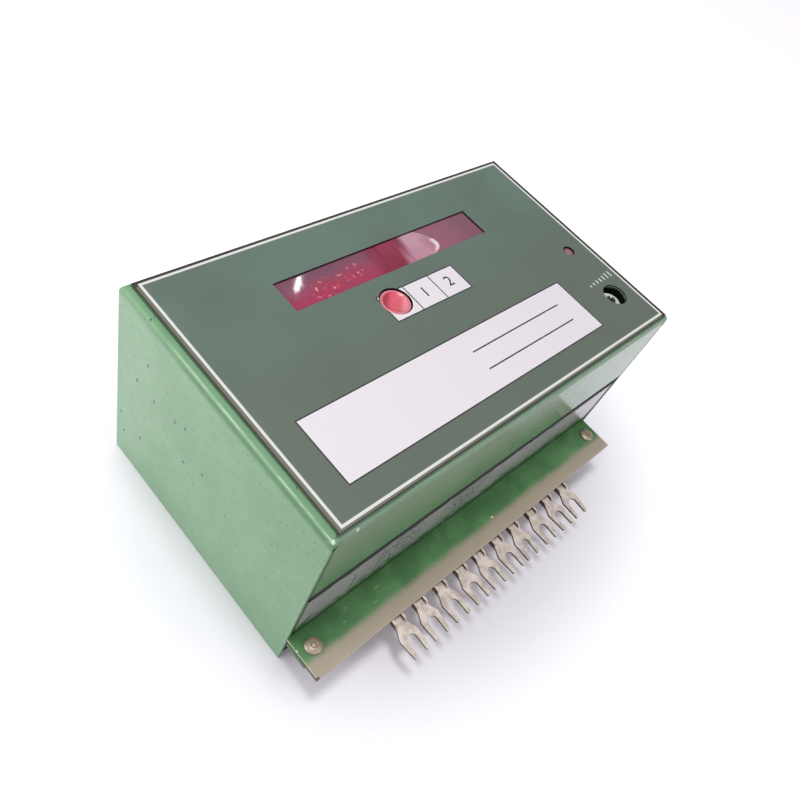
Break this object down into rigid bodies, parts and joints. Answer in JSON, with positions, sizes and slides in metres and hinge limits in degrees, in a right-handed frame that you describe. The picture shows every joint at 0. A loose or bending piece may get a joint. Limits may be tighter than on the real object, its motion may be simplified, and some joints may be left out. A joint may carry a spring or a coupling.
{
  "type": "panel counter",
  "caption": "Box-shaped electronic counter with a red display window, reset button, indicator and screwdriver adjuster, wired by a row of fork terminals along one side.",
  "frame": {"origin": "middle of the case's back face, which the part lies on", "axes": "+X along the panel's long side to the adjuster's end, +Y away from the fork terminals, +Z out of the front panel"},
  "size_m": [0.1524, 0.1182, 0.0762],
  "materials": {
    "green_paint": "semi-gloss paint",
    "printed_panel": "satin print",
    "red_filter": "clear deep red",
    "bare_aluminium": "bare mill finish",
    "laminate": "bare laminate, green paint on its inner part",
    "rivet_metal": "plain",
    "tinned_metal": "tin plated",
    "red_lens": "translucent",
    "bushing_metal": "bright",
    "shaft_metal": "dark",
    "screw_steel": "zinc plated",
    "black_plastic": "moulded",
    "board_laminate": "coated laminate",
    "digit_plastic": "moulded",
    "column_brass": "turned",
    "nylon": "moulded",
    "capacitor_sleeve": "shrink sleeve",
    "core_steel": "laminated",
    "coil_wire": "taped"
  },
  "bodies": {
    "housing": {"cover": "green_paint", "overlay": "printed_panel", "display_window": "red_filter", "chassis": "bare_aluminium", "back_plate": "bare_aluminium", "heat_sink": "bare_aluminium", "terminal_board": "laminate", "rivet_left": "rivet_metal", "rivet_right": "rivet_metal", "fork_1": "tinned_metal", "fork_2": "tinned_metal", "fork_3": "tinned_metal", "fork_4": "tinned_metal", "fork_5": "tinned_metal", "fork_6": "tinned_metal", "fork_7": "tinned_metal", "fork_8": "tinned_metal", "fork_9": "tinned_metal", "fork_10": "tinned_metal", "indicator_led": "red_lens", "sensitivity_pot": "bushing_metal", "button_spring": "screw_steel", "front_screws": "screw_steel", "back_screws": "screw_steel", "cover_screws": "screw_steel", "transformer_screws": "screw_steel", "transformer_strap": "screw_steel", "switch_body": "black_plastic", "link_header": "black_plastic", "bridge_rectifier": "black_plastic", "voltage_regulator": "black_plastic", "chip_1": "black_plastic", "chip_2": "black_plastic", "chip_3": "black_plastic", "chip_4": "black_plastic", "chip_5": "black_plastic", "chip_6": "black_plastic", "front_board": "board_laminate", "main_board": "board_laminate", "power_board": "board_laminate", "digit_1": "digit_plastic", "digit_2": "digit_plastic", "digit_3": "digit_plastic", "digit_4": "digit_plastic", "digit_5": "digit_plastic", "digit_6": "digit_plastic", "digit_7": "digit_plastic", "digit_8": "digit_plastic", "front_standoffs": "column_brass", "main_standoffs": "column_brass", "back_posts": "column_brass", "power_spacers": "nylon", "filter_capacitor": "capacitor_sleeve", "transformer_core": "core_steel", "transformer_coil": "coil_wire"},
    "button": {"push_button": "red_lens"},
    "adjuster": {"pot_shaft": "shaft_metal"}
  },
  "joints": [
    {"name": "button_press", "type": "slide", "parent": "housing", "child": "button", "axis": [0, 0, -1], "range_m": [0, 0.0015], "stiffness_N_per_m": 600, "deforming": ["button_spring"]},
    {"name": "sensitivity_turn", "type": "hinge", "parent": "housing", "child": "adjuster", "pos_m": [0.063, -0.0276, 0.0736], "axis": [0, 0, 1], "range_deg": [-135, 135]}
  ]
}
